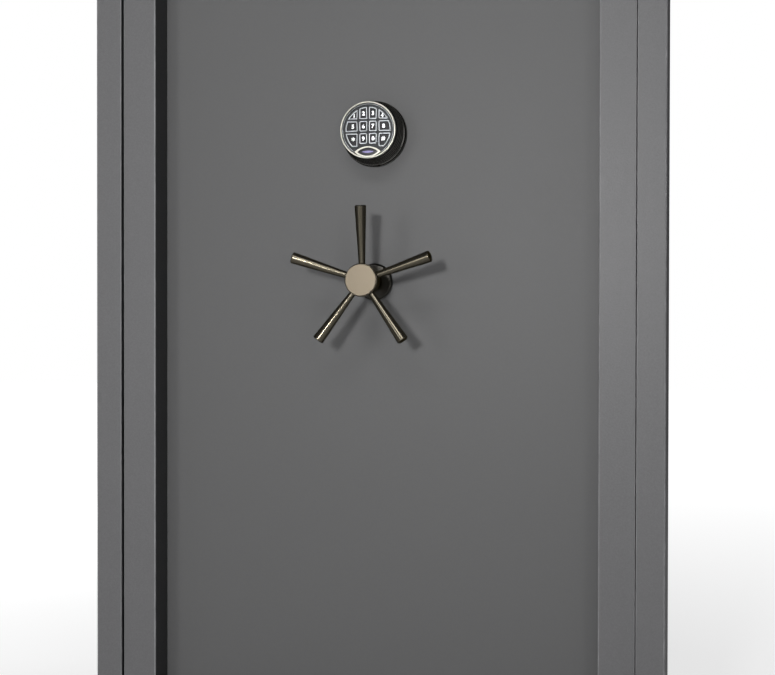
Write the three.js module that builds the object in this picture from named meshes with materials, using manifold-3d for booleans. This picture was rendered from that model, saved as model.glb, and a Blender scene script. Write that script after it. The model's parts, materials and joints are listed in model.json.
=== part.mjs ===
// Gun safe: welded steel cabinet, swinging door, four-way bolt work, five-spoke handle and round electronic dial.
// Millimetres. X is to the right, Y runs from the front to the back, Z is up.
// The origin is the centre of the cabinet's underside. Depths below are measured from the cabinet's front face.
import * as THREE from 'three';
import { mergeVertices } from 'three/addons/utils/BufferGeometryUtils.js';
import Module from 'manifold-3d';

const wasm = await Module();
wasm.setup();

// Cabinet
const WIDTH = 914.4;
const HEIGHT = 1536.7;
const DEPTH = 635;
const SHEET = 3;
const FLANGE = 43.6;
const FIT = 0.3;
const FIRE_BOARD = 15;
const LINING = 5;
const MAT = 8;

// Door opening and jamb
const JAMB_STEP_DEPTH = 50;
const JAMB_DEPTH = 85;
const JAMB_STEP = 9.6;
const SEAL_DEPTH = 46;

// Door
const OPENING_GAP = 2.7;
const HINGE_GAP = 0.9;
const END_GAP = 2.5;
const DOOR_SETBACK = 3.9;
const BORDER = 55.4;
const EDGE_DEPTH = 44;
const PANEL_DEPTH = 52;
const PLATE_INSET = 19;
const PLUG_INSET = 22;
const CORE_THICKNESS = 19.7;
const TRAY_DEPTH = 118;
const TRIM_THICKNESS = 6;

// Hinges
const HINGE_X = 432;
const HINGE_AHEAD = 15;
const HINGE_END_OFFSET = 125;
const HINGE_HALF = 48;
const BARREL_R = 14;
const HINGE_PIN_R = 6;

// Handle
const HANDLE_Z = 795;
const HUB_R = 25.5;
const HUB_REACH = 97;
const ROSE_R = 29.5;
const SPINDLE_R = 9;
const SPOKES = 5;
const SPOKE_REACH = 115;
const SPOKE_SPLAY = THREE.MathUtils.degToRad(7);
const SPOKE_DEPTH = 84;

// Bolt work
const THROW_PER_RADIAN = 21.4;
const HANDLE_TURN = THREE.MathUtils.degToRad(75);
const BOLT_R = 12;
const BOLT_DEPTH = 100;
const BOLT_PROUD = 2;
const BAR_CLEAR = 34;
const BAR_THICKNESS = 6;
const CAM_R = 72;
const CAM_PIN_START = 30;
const CAM_PIN_R = 5;
const SIDE_BOLT_HEIGHTS = [380, 860, 1230];

// Electronic dial and its lock
const KEYPAD_Z = 1031;
const DIAL_BASE_R = 52.5;
const DIAL_BACK_R = 51;
const DIAL_FRONT_R = 44.8;
const DIAL_REACH = 51;
const FACE_R = 41.3;
const DIAL_SHAFT_R = 6;
const KEY_COLUMNS = 4;
const KEY_ROWS = 3;
const KEY_PITCH_X = 15.4;
const KEY_PITCH_Z = 19.2;
const KEY_WIDTH = 12.6;
const KEY_HEIGHT = 16.6;
const KEY_FIELD_R = 36.4;
const KEY_FIELD_RAISE = 6.1;
const KEY_SPREAD = 8;
const KEY_CREST = 4;
const KEY_FOOT = 4.7;
const LOCK_HALF_WIDTH = 32;
const LOCK_HALF_HEIGHT = 42;

const safe = new THREE.Group();
const cabinet = new THREE.Group();
cabinet.position.set(0, -DEPTH / 2, 0);
safe.add(cabinet);

// ---- Materials ----
function finish(color, roughness, metalness) {
  return () => new THREE.MeshStandardMaterial({ color, roughness, metalness });
}
const charcoalPaint = finish(0x6b6b6c, 0.6, 0.1);
const panelPaint = finish(0x646465, 0.5, 0.1);
const blackPaint = finish(0x1c1c1e, 0.6, 0.1);
const bareSteel = finish(0x8d9094, 0.4, 0.9);
const chromedSteel = finish(0xd5d7da, 0.15, 1);
const blackNickel = finish(0x2e2a26, 0.25, 1);
const champagneNickel = finish(0xa69b86, 0.35, 1);
const blackPlastic = finish(0x101012, 0.45, 0);
const keyMetal = finish(0x7c8288, 0.3, 0.9);
const boardWhite = finish(0xd8d4ca, 0.95, 0);
const greyFabric = finish(0x55565a, 0.95, 0);
const sealBlack = finish(0x0d0d0e, 0.8, 0);

// ---- Geometry helpers ----
function addPart(parent, name, geometry, material, position = [0, 0, 0]) {
  const mesh = new THREE.Mesh(geometry, material());
  mesh.name = name;
  mesh.position.set(...position);
  parent.add(mesh);
  return mesh;
}

function toSolid(geometry) {
  const plain = geometry.clone();
  plain.deleteAttribute('normal');
  plain.deleteAttribute('uv');
  const merged = mergeVertices(plain, 1e-4);
  return new wasm.Manifold(new wasm.Mesh({
    numProp: 3,
    vertProperties: new Float32Array(merged.attributes.position.array),
    triVerts: new Uint32Array(merged.index.array),
  }));
}

function toGeometry(solid) {
  const mesh = solid.getMesh();
  const geometry = new THREE.BufferGeometry();
  geometry.setAttribute('position', new THREE.BufferAttribute(new Float32Array(mesh.vertProperties), 3));
  geometry.setIndex(new THREE.BufferAttribute(new Uint32Array(mesh.triVerts), 1));
  geometry.computeVertexNormals();
  return geometry;
}

function combine(added, removed = []) {
  let solid = toSolid(added[0]);
  for (const geometry of added.slice(1)) solid = solid.add(toSolid(geometry));
  for (const geometry of removed) solid = solid.subtract(toSolid(geometry));
  return toGeometry(solid);
}

function block([x0, x1], [y0, y1], [z0, z1]) {
  const box = new THREE.BoxGeometry(x1 - x0, y1 - y0, z1 - z0);
  return box.translate((x0 + x1) / 2, (y0 + y1) / 2, (z0 + z1) / 2);
}

function rodAlongY(radius, [y0, y1], x = 0, z = 0, sides = 16) {
  const rod = new THREE.CylinderGeometry(radius, radius, y1 - y0, sides);
  return rod.translate(x, (y0 + y1) / 2, z);
}

function rodAlongX(radius, [x0, x1], y, z, sides = 16) {
  const rod = new THREE.CylinderGeometry(radius, radius, x1 - x0, sides).rotateZ(Math.PI / 2);
  return rod.translate((x0 + x1) / 2, y, z);
}

function rodAlongZ(radius, [z0, z1], x, y, sides = 16) {
  const rod = new THREE.CylinderGeometry(radius, radius, z1 - z0, sides).rotateX(Math.PI / 2);
  return rod.translate(x, y, (z0 + z1) / 2);
}

// A shape drawn in X and Z, extruded along Y.
function alongY(shape, [y0, y1], curveSegments = 8) {
  const solid = new THREE.ExtrudeGeometry(shape, { depth: y1 - y0, bevelEnabled: false, curveSegments });
  return solid.rotateX(Math.PI / 2).translate(0, y1, 0);
}

function rectangle(path, { x: [x0, x1], z: [z0, z1] }) {
  path.moveTo(x0, z0);
  path.lineTo(x1, z0);
  path.lineTo(x1, z1);
  path.lineTo(x0, z1);
  path.closePath();
  return path;
}

function frameRing(outer, inner, depths) {
  const shape = rectangle(new THREE.Shape(), outer);
  shape.holes.push(rectangle(new THREE.Path(), inner));
  return alongY(shape, depths);
}

function shrink({ x: [x0, x1], z: [z0, z1] }, by) {
  return { x: [x0 + by, x1 - by], z: [z0 + by, z1 - by] };
}

// A body of revolution about Y from (radius, y) points that close on themselves or on the axis.
function turned(points, sides = 24) {
  let area = 0;
  points.forEach(([r0, y0], i) => {
    const [r1, y1] = points[(i + 1) % points.length];
    area += r0 * y1 - r1 * y0;
  });
  const ordered = area > 0 ? points : [...points].reverse();
  const outline = ordered.map(([r, y]) => new THREE.Vector2(r, y));
  const closesOnAxis = points[0][0] === 0 && points[points.length - 1][0] === 0;
  if (!closesOnAxis) outline.push(outline[0].clone());
  return new THREE.LatheGeometry(outline, sides);
}

const face = { x: [-WIDTH / 2, WIDTH / 2], z: [0, HEIGHT] };
const doorOutline = {
  x: [-WIDTH / 2 + FLANGE + OPENING_GAP, WIDTH / 2 - FLANGE - HINGE_GAP],
  z: [FLANGE + END_GAP, HEIGHT - FLANGE - END_GAP],
};
const plug = shrink(doorOutline, PLUG_INSET);
const trayInside = shrink(plug, SHEET);

// ---- Cabinet: shell, fire board, lining, jamb and seal ----
function buildCabinet() {
  const inside = shrink(face, SHEET);
  const opening = shrink(face, FLANGE);
  const anchorX = WIDTH / 2 - 110;
  const anchorHoles = [];
  for (const x of [-anchorX, anchorX]) {
    for (const y of [150, DEPTH - 110]) anchorHoles.push(rodAlongZ(7, [-5, 60], x, y, 12));
  }
  const shell = combine(
    [block(face.x, [0, DEPTH], face.z)],
    [block(inside.x, [SHEET, DEPTH - SHEET], inside.z), block(opening.x, [-5, 5], opening.z), ...anchorHoles],
  );
  addPart(cabinet, 'outer_shell', shell, charcoalPaint);

  const boardOut = shrink(inside, FIT);
  const boardIn = shrink(boardOut, FIRE_BOARD);
  const boardBack = DEPTH - SHEET - FIT;
  const fireBoard = combine(
    [block(boardOut.x, [JAMB_DEPTH + 10, boardBack], boardOut.z)],
    [block(boardIn.x, [0, boardBack - FIRE_BOARD], boardIn.z), ...anchorHoles],
  );
  addPart(cabinet, 'fire_board', fireBoard, boardWhite);

  const liningOut = shrink(boardIn, FIT);
  const liningIn = shrink(liningOut, LINING);
  const liningBack = boardBack - FIRE_BOARD - FIT;
  const lining = combine(
    [block(liningOut.x, [JAMB_DEPTH + 13, liningBack], liningOut.z)],
    [block(liningIn.x, [0, liningBack - LINING], liningIn.z)],
  );
  addPart(cabinet, 'interior_lining', lining, greyFabric);

  const step = shrink(opening, JAMB_STEP);
  const jamb = combine([
    frameRing(shrink(inside, FIT), opening, [SHEET + FIT, 2 * SHEET + FIT]),
    frameRing(shrink(opening, -SHEET), opening, [SHEET + FIT, JAMB_STEP_DEPTH + SHEET]),
    frameRing(shrink(opening, -SHEET), step, [JAMB_STEP_DEPTH, JAMB_STEP_DEPTH + SHEET]),
    frameRing(shrink(step, -SHEET), step, [JAMB_STEP_DEPTH, JAMB_DEPTH]),
    frameRing(shrink(opening, -16), step, [JAMB_DEPTH - SHEET, JAMB_DEPTH]),
  ]);
  addPart(cabinet, 'door_frame', jamb, blackPaint);
  const seal = frameRing(shrink(opening, 1), shrink(step, -0.5), [SEAL_DEPTH, JAMB_STEP_DEPTH - FIT]);
  addPart(cabinet, 'frame_seal', seal, sealBlack);
  return { room: liningIn, roomBack: liningBack - LINING };
}

// ---- Interior furniture ----
function buildInterior({ room, roomBack }) {
  const back = roomBack - FIT;
  const floor = room.z[0] + FIT + MAT;
  const wallX = [room.x[0] + FIT, room.x[1] - FIT];
  addPart(cabinet, 'floor_mat', block(wallX, [130, back], [floor - MAT, floor]), greyFabric);

  const dividerX = [100, 116];
  const topShelfZ = [1270, 1288];
  const sideShelfZ = [650, 668];
  const rackZ = [960, 982];
  const divider = block(dividerX, [175, back], [floor + FIT, topShelfZ[0] - FIT]);
  addPart(cabinet, 'centre_divider', divider, greyFabric);
  addPart(cabinet, 'top_shelf', block(wallX, [200, back], topShelfZ), greyFabric);
  addPart(cabinet, 'side_shelf', block([dividerX[1] + FIT, wallX[1]], [190, back], sideShelfZ), greyFabric);

  const rackX = [wallX[0], dividerX[0] - FIT];
  const rackFront = 400;
  const notches = 6;
  const pitch = (rackX[1] - rackX[0]) / notches;
  const rack = rectangle(new THREE.Shape(), { x: rackX, z: rackZ });
  const cuts = [];
  for (let i = 0; i < notches; i += 1) {
    const x = rackX[0] + pitch * (i + 0.5);
    cuts.push(block([x - 22, x + 22], [rackFront - 5, rackFront + 45], [rackZ[0] - 5, rackZ[1] + 5]));
    cuts.push(rodAlongZ(22, [rackZ[0] - 5, rackZ[1] + 5], x, rackFront + 45));
  }
  addPart(cabinet, 'barrel_rack', combine([alongY(rack, [rackFront, back])], cuts), greyFabric);
}

// ---- Door: formed skin, fire core, bolt tray, hard plate and fabric trim ----
function buildDoor() {
  const holes = [
    rodAlongY(SPINDLE_R + 0.6, [0, TRAY_DEPTH], 0, HANDLE_Z),
    rodAlongY(DIAL_SHAFT_R + 1, [0, TRAY_DEPTH], 0, KEYPAD_Z),
  ];
  const borderInside = shrink(doorOutline, BORDER);
  const plate = shrink(doorOutline, PLATE_INSET);
  const skin = combine([
    frameRing(doorOutline, borderInside, [DOOR_SETBACK, DOOR_SETBACK + SHEET]),
    frameRing(doorOutline, shrink(doorOutline, SHEET), [DOOR_SETBACK, EDGE_DEPTH]),
    frameRing(doorOutline, shrink(doorOutline, 11), [EDGE_DEPTH - SHEET, EDGE_DEPTH]),
    frameRing(shrink(borderInside, -SHEET), borderInside, [DOOR_SETBACK, PANEL_DEPTH + SHEET]),
    block(plate.x, [PANEL_DEPTH, PANEL_DEPTH + SHEET], plate.z),
  ], holes);
  addPart(cabinet, 'door_skin', skin, panelPaint);

  const behindSkin = PANEL_DEPTH + SHEET + FIT;
  const coreBack = behindSkin + CORE_THICKNESS;
  const hardplateHalf = 70;
  const hardplateDepths = [behindSkin, behindSkin + 6];
  const hardplateX = [-hardplateHalf, hardplateHalf];
  const hardplateZ = [KEYPAD_Z - hardplateHalf, KEYPAD_Z + hardplateHalf];
  addPart(cabinet, 'hardplate', combine([block(hardplateX, hardplateDepths, hardplateZ)], holes), bareSteel);
  const pocketRect = shrink({ x: hardplateX, z: hardplateZ }, -FIT);
  const pocket = block(pocketRect.x, [behindSkin - 1, hardplateDepths[1] + FIT], pocketRect.z);
  const coreRect = shrink(trayInside, FIT);
  const core = combine([block(coreRect.x, [behindSkin, coreBack], coreRect.z)], [pocket, ...holes]);
  addPart(cabinet, 'door_core', core, boardWhite);

  const plateDepths = [coreBack + FIT, coreBack + FIT + SHEET];
  const holeR = BOLT_R + 0.5;
  const boltHoles = [
    rodAlongZ(holeR, [plug.z[0] - 5, plug.z[0] + 10], 0, BOLT_DEPTH),
    rodAlongZ(holeR, [plug.z[1] - 10, plug.z[1] + 5], 0, BOLT_DEPTH),
  ];
  for (const z of SIDE_BOLT_HEIGHTS) {
    boltHoles.push(rodAlongX(holeR, [plug.x[0] - 5, plug.x[0] + 10], BOLT_DEPTH, z));
    boltHoles.push(rodAlongX(holeR, [plug.x[1] - 10, plug.x[1] + 5], BOLT_DEPTH, z));
  }
  const tray = combine([
    frameRing(plug, trayInside, [behindSkin, TRAY_DEPTH]),
    block([plug.x[0] + 1, plug.x[1] - 1], plateDepths, [plug.z[0] + 1, plug.z[1] - 1]),
  ], [...holes, ...boltHoles]);
  addPart(cabinet, 'door_tray', tray, blackPaint);
  const trimDepths = [TRAY_DEPTH + FIT, TRAY_DEPTH + FIT + TRIM_THICKNESS];
  addPart(cabinet, 'door_trim_panel', block(plug.x, trimDepths, plug.z), greyFabric);
  return plateDepths[1];
}

// ---- Hinges: a frame half, a door half and a pin with a bearing collar, at the top and at the bottom ----
function buildHinge(label, z) {
  const axis = [HINGE_X, -HINGE_AHEAD];
  const gap = 1;
  const hole = rodAlongZ(HINGE_PIN_R + 0.4, [-HINGE_HALF - 5, HINGE_HALF + 5], ...axis);
  const pad = block([HINGE_X - 12, HINGE_X + 12], [-HINGE_AHEAD, -FIT], [-HINGE_HALF, -gap]);
  const frameHalf = combine([rodAlongZ(BARREL_R, [-HINGE_HALF, -gap], ...axis), pad], [hole]);
  addPart(cabinet, `hinge_${label}_frame_half`, frameHalf, blackPaint, [0, 0, z]);

  const doorEdge = doorOutline.x[1];
  const arm = new THREE.Shape();
  arm.moveTo(doorEdge - 40, DOOR_SETBACK - FIT);
  arm.lineTo(doorEdge - 40, -5);
  arm.lineTo(doorEdge - 27, -11);
  arm.lineTo(HINGE_X, -HINGE_AHEAD - 12);
  arm.lineTo(HINGE_X, -1);
  arm.lineTo(doorEdge - 2, -1);
  arm.lineTo(doorEdge - 2, DOOR_SETBACK - FIT);
  arm.closePath();
  const armSolid = new THREE.ExtrudeGeometry(arm, { depth: HINGE_HALF - gap, bevelEnabled: false });
  armSolid.translate(0, 0, gap);
  const doorHalf = combine([rodAlongZ(BARREL_R, [gap, HINGE_HALF], ...axis), armSolid], [hole]);
  addPart(cabinet, `hinge_${label}_door_half`, doorHalf, blackPaint, [0, 0, z]);

  const collarR = BARREL_R - 3;
  const collarHalf = gap - FIT;
  const pin = turned([
    [0, -HINGE_HALF], [HINGE_PIN_R, -HINGE_HALF], [HINGE_PIN_R, -collarHalf], [collarR, -collarHalf],
    [collarR, collarHalf], [HINGE_PIN_R, collarHalf], [HINGE_PIN_R, HINGE_HALF], [0, HINGE_HALF],
  ], 16).rotateX(Math.PI / 2);
  addPart(cabinet, `hinge_${label}_pin`, pin, chromedSteel, [axis[0], axis[1], z]);
}

// ---- Handle: rose, hub, spokes, spindle and scroll cam ----
// A cam slot follows its pin outwards by the same distance for each radian of turn.
function camSlot(startAngle) {
  const half = CAM_PIN_R + 0.4;
  const steps = 10;
  const capSteps = 4;
  const centre = (turn) => {
    const angle = startAngle - turn;
    const r = CAM_PIN_START + THROW_PER_RADIAN * turn;
    return new THREE.Vector2(r * Math.cos(angle), r * Math.sin(angle));
  };
  const heading = (turn) => centre(turn + 1e-3).sub(centre(turn - 1e-3)).angle();
  const points = [];
  const around = (turn, offset) => {
    const direction = heading(turn) + offset;
    const side = new THREE.Vector2(Math.cos(direction), Math.sin(direction));
    points.push(centre(turn).addScaledVector(side, half));
  };
  for (let i = 0; i <= steps; i += 1) around((HANDLE_TURN * i) / steps, Math.PI / 2);
  for (let i = 1; i < capSteps; i += 1) around(HANDLE_TURN, Math.PI / 2 - (Math.PI * i) / capSteps);
  for (let i = steps; i >= 0; i -= 1) around((HANDLE_TURN * i) / steps, -Math.PI / 2);
  for (let i = 1; i < capSteps; i += 1) around(0, -Math.PI / 2 - (Math.PI * i) / capSteps);
  return new THREE.Path(points);
}

function placeSpoke(geometry, index) {
  geometry.rotateX(SPOKE_SPLAY);
  geometry.rotateY((index * 2 * Math.PI) / SPOKES);
  return geometry.translate(0, -SPOKE_DEPTH, 0);
}

function buildHandle() {
  const handle = new THREE.Group();
  handle.position.set(0, PANEL_DEPTH, HANDLE_Z);
  cabinet.add(handle);
  const roseFront = -6;
  const rose = turned([
    [SPINDLE_R + 0.6, -FIT], [ROSE_R, -FIT], [ROSE_R, roseFront + 2], [ROSE_R - 2, roseFront],
    [SPINDLE_R + 0.6, roseFront],
  ]);
  addPart(handle, 'handle_rose', rose, blackPaint);

  const spindleStart = -HUB_REACH + 18;
  const hubBlank = turned([
    [0, -HUB_REACH], [HUB_R - 2, -HUB_REACH], [HUB_R, -HUB_REACH + 2], [HUB_R, -HUB_REACH + 25],
    [HUB_R - 4, -HUB_REACH + 30], [14, -HUB_REACH + 36], [13, roseFront - FIT],
    [SPINDLE_R + FIT, roseFront - FIT], [SPINDLE_R + FIT, spindleStart - FIT], [0, spindleStart - FIT],
  ]);
  const pegR = 4.2;
  const pegStart = 15;
  const shoulder = HUB_R + 0.9;
  const sockets = [];
  for (let i = 0; i < SPOKES; i += 1) {
    sockets.push(placeSpoke(rodAlongZ(pegR + 0.4, [pegStart - FIT, HUB_R + 5], 0, 0, 12), i));
  }
  addPart(handle, 'handle_hub', combine([hubBlank], sockets), champagneNickel);
  for (let i = 0; i < SPOKES; i += 1) {
    const profile = [
      [0, pegStart], [pegR, pegStart], [pegR, shoulder], [5, shoulder], [9, SPOKE_REACH - 2],
      [8, SPOKE_REACH], [0, SPOKE_REACH],
    ];
    const spoke = turned(profile, 16).rotateX(Math.PI / 2);
    addPart(handle, `handle_spoke_${i + 1}`, placeSpoke(spoke, i), blackNickel);
  }
  addPart(handle, 'handle_spindle', rodAlongY(SPINDLE_R, [spindleStart, 62]), bareSteel);

  const cam = new THREE.Shape();
  cam.absarc(0, 0, CAM_R, 0, 2 * Math.PI);
  const bore = new THREE.Path();
  bore.absarc(0, 0, SPINDLE_R + FIT, 0, 2 * Math.PI);
  cam.holes.push(bore);
  for (let i = 0; i < 4; i += 1) cam.holes.push(camSlot((i * Math.PI) / 2));
  addPart(handle, 'cam_plate', alongY(cam, [51.5, 56.5], 12), bareSteel);
}

// ---- Bolt work: four bars with tie rods and cam pins, and their locking bolts ----
function buildBoltWork() {
  const barDepths = [BOLT_DEPTH - 14, BOLT_DEPTH + 14];
  const tieDepths = [96, 101];
  const pinDepths = [100, 110];
  const tieEnd = CAM_PIN_START - 12;
  const [trayLeft, trayRight] = trayInside.x;
  const [trayBottom, trayTop] = trayInside.z;
  const sides = { left: [trayLeft, -1, plug.x[0]], right: [trayRight, 1, plug.x[1]] };
  for (const [side, [trayWall, out, plugEdge]] of Object.entries(sides)) {
    const span = (a, b) => [Math.min(a, b), Math.max(a, b)];
    const outerFace = trayWall - out * BAR_CLEAR;
    const innerFace = outerFace - out * BAR_THICKNESS;
    const bar = combine([
      block(span(innerFace, outerFace), barDepths, [300, 1310]),
      block(span(out * tieEnd, outerFace - out), tieDepths, [HANDLE_Z - 12, HANDLE_Z + 12]),
      rodAlongY(CAM_PIN_R, pinDepths, out * CAM_PIN_START, HANDLE_Z, 12),
    ]);
    addPart(cabinet, `${side}_bolt_bar`, bar, bareSteel);
    SIDE_BOLT_HEIGHTS.forEach((z, i) => {
      const length = span(outerFace + out * FIT, plugEdge + out * BOLT_PROUD);
      const bolt = rodAlongX(BOLT_R, [-(length[1] - length[0]) / 2, (length[1] - length[0]) / 2], 0, 0);
      addPart(cabinet, `${side}_bolt_${i + 1}`, bolt, chromedSteel, [(length[0] + length[1]) / 2, BOLT_DEPTH, z]);
    });
  }

  const topFace = trayTop - BAR_CLEAR;
  const riserX = [52, 72];
  const jogZ = [HANDLE_Z + 90, HANDLE_Z + 112];
  const tab = { x: [36, riserX[0] + 1], z: [KEYPAD_Z - 16.5, KEYPAD_Z - 8.5] };
  const topBar = combine([
    block([-200, 200], barDepths, [topFace - BAR_THICKNESS, topFace]),
    block(riserX, tieDepths, [jogZ[0], topFace - 1]),
    block([-10, riserX[1]], tieDepths, jogZ),
    block([-10, 10], tieDepths, [HANDLE_Z + tieEnd, jogZ[1]]),
    block(tab.x, tieDepths, tab.z),
    rodAlongY(CAM_PIN_R, pinDepths, 0, HANDLE_Z + CAM_PIN_START, 12),
  ]);
  addPart(cabinet, 'top_bolt_bar', topBar, bareSteel);
  const topBolt = rodAlongZ(BOLT_R, [topFace + FIT, plug.z[1] + BOLT_PROUD], 0, BOLT_DEPTH);
  addPart(cabinet, 'top_bolt', topBolt, chromedSteel);

  const bottomFace = trayBottom + BAR_CLEAR;
  const bottomBar = combine([
    block([-200, 200], barDepths, [bottomFace, bottomFace + BAR_THICKNESS]),
    block([-10, 10], tieDepths, [bottomFace + 1, HANDLE_Z - tieEnd]),
    rodAlongY(CAM_PIN_R, pinDepths, 0, HANDLE_Z - CAM_PIN_START, 12),
  ]);
  addPart(cabinet, 'bottom_bolt_bar', bottomBar, bareSteel);
  const bottomBolt = rodAlongZ(BOLT_R, [plug.z[0] - BOLT_PROUD, bottomFace - FIT], 0, BOLT_DEPTH);
  addPart(cabinet, 'bottom_bolt', bottomBolt, chromedSteel);
}

// ---- Electronic dial: base, turning housing, bezel, face plate and twelve keys; lock body and lock bolt ----
// Outer keys spread to the sides, the top row reaches up and the bottom outer keys reach down.
function keyBounds(row, column) {
  const x = (column - (KEY_COLUMNS - 1) / 2) * KEY_PITCH_X;
  const z = KEY_FIELD_RAISE + ((KEY_ROWS - 1) / 2 - row) * KEY_PITCH_Z;
  const first = column === 0;
  const last = column === KEY_COLUMNS - 1;
  const foot = row === KEY_ROWS - 1 && (first || last) ? KEY_FOOT : 0;
  return {
    anchor: new THREE.Vector2(x, z),
    x: [x - KEY_WIDTH / 2 - (first ? KEY_SPREAD : 0), x + KEY_WIDTH / 2 + (last ? KEY_SPREAD : 0)],
    z: [z - KEY_HEIGHT / 2 - foot, z + KEY_HEIGHT / 2 + (row === 0 ? KEY_CREST : 0)],
  };
}

// Key outlines are rounded rectangles cut off at the round edge of the key field: a point beyond
// the circle comes back towards the key's anchor until it lies on the circle.
function keyOutline(path, bounds, grow) {
  const corner = 2.5;
  const radius = corner + grow;
  const limit = KEY_FIELD_R + grow;
  const cornerSteps = 3;
  const edgeSteps = 4;
  const centres = [[1, 1], [0, 1], [0, 0], [1, 0]].map(([i, j]) => [
    bounds.x[i] + (i ? -corner : corner),
    bounds.z[j] + (j ? -corner : corner),
  ]);
  const arcPoint = (quarter, angle) => {
    const [cx, cz] = centres[quarter % 4];
    return new THREE.Vector2(cx + radius * Math.cos(angle), cz + radius * Math.sin(angle));
  };
  const points = [];
  for (let quarter = 0; quarter < 4; quarter += 1) {
    for (let i = 0; i <= cornerSteps; i += 1) {
      points.push(arcPoint(quarter, (quarter + i / cornerSteps) * (Math.PI / 2)));
    }
    const start = points[points.length - 1];
    const end = arcPoint(quarter + 1, (quarter + 1) * (Math.PI / 2));
    for (let i = 1; i < edgeSteps; i += 1) points.push(start.clone().lerp(end, i / edgeSteps));
  }
  for (const point of points) {
    const reach = point.clone().sub(bounds.anchor);
    const along = bounds.anchor.dot(reach);
    const inside = limit ** 2 - bounds.anchor.lengthSq();
    const part = (Math.sqrt(along ** 2 + reach.lengthSq() * inside) - along) / reach.lengthSq();
    if (part < 1) point.copy(bounds.anchor).addScaledVector(reach, part);
  }
  path.setFromPoints(points);
  return path;
}

function buildDial(lockFront) {
  const dial = new THREE.Group();
  dial.position.set(0, PANEL_DEPTH, KEYPAD_Z);
  cabinet.add(dial);
  const baseFront = -6;
  const base = turned([
    [DIAL_SHAFT_R + 1, -FIT], [DIAL_BASE_R, -FIT], [DIAL_BASE_R, baseFront + 1.5], [DIAL_BASE_R - 1.5, baseFront],
    [DIAL_SHAFT_R + 1, baseFront],
  ], 32);
  addPart(dial, 'dial_base', base, blackPlastic);

  const shaftEnd = 45;
  const housingBack = baseFront - FIT;
  const housingFront = -DIAL_REACH + 4;
  const wall = 2.8;
  const housing = turned([
    [0, shaftEnd], [DIAL_SHAFT_R, shaftEnd], [DIAL_SHAFT_R, housingBack], [DIAL_BACK_R, housingBack],
    [DIAL_BACK_R, housingBack - 6], [DIAL_BACK_R - 1.5, housingBack - 8], [DIAL_FRONT_R + 1, housingFront + 8],
    [DIAL_FRONT_R, housingFront], [DIAL_FRONT_R - wall, housingFront], [DIAL_FRONT_R - wall, housingBack - 4],
    [0, housingBack - 4],
  ], 32);
  addPart(dial, 'dial_housing', housing, blackPlastic);
  const bezelInner = FACE_R - 1.4;
  const bezelBack = housingFront - FIT;
  const bezel = turned([
    [bezelInner, bezelBack], [DIAL_FRONT_R, bezelBack], [DIAL_FRONT_R, -DIAL_REACH + 1.2],
    [DIAL_FRONT_R - 1.4, -DIAL_REACH], [bezelInner + 1.2, -DIAL_REACH], [bezelInner, -DIAL_REACH + 1.2],
  ], 32);
  addPart(dial, 'dial_bezel', bezel, chromedSteel);

  const facePlate = new THREE.Shape();
  facePlate.absarc(0, 0, FACE_R, 0, 2 * Math.PI);
  const facePlateDepths = [housingFront, housingFront + 3];
  const keyDepths = [housingFront - 1.6, housingFront + 6];
  for (let row = 0; row < KEY_ROWS; row += 1) {
    for (let column = 0; column < KEY_COLUMNS; column += 1) {
      const bounds = keyBounds(row, column);
      facePlate.holes.push(keyOutline(new THREE.Path(), bounds, 0.4));
      const key = alongY(keyOutline(new THREE.Shape(), bounds, 0), keyDepths);
      addPart(dial, `key_${row * KEY_COLUMNS + column + 1}`, key, keyMetal);
    }
  }
  addPart(dial, 'dial_face', alongY(facePlate, facePlateDepths, 16), blackPlastic);

  const slotHalf = 7.4;
  const boltHalf = 7;
  const boltDepths = [90, 100];
  const lockX = [-LOCK_HALF_WIDTH, LOCK_HALF_WIDTH];
  const lockZ = [KEYPAD_Z - LOCK_HALF_HEIGHT, KEYPAD_Z + LOCK_HALF_HEIGHT];
  const lock = combine([block(lockX, [lockFront + FIT, 104], lockZ)], [
    rodAlongY(DIAL_SHAFT_R + 1, [0, PANEL_DEPTH + shaftEnd + 1], 0, KEYPAD_Z),
    block([0, LOCK_HALF_WIDTH + 5], [boltDepths[0] - 0.4, boltDepths[1] + 0.4], [KEYPAD_Z - slotHalf, KEYPAD_Z + slotHalf]),
  ]);
  addPart(cabinet, 'lock_body', lock, champagneNickel);
  const boltX = [DIAL_SHAFT_R + 1, LOCK_HALF_WIDTH - FIT];
  addPart(cabinet, 'lock_bolt', block(boltX, boltDepths, [KEYPAD_Z - boltHalf, KEYPAD_Z + boltHalf]), chromedSteel);
}

buildInterior(buildCabinet());
const trayPlateBack = buildDoor();
buildHinge('lower', HINGE_END_OFFSET);
buildHinge('upper', HEIGHT - HINGE_END_OFFSET);
buildHandle();
buildBoltWork();
buildDial(trayPlateBack);

export default safe;
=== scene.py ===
import json
import math

import bmesh
import bpy
from mathutils import Matrix, Vector


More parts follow.
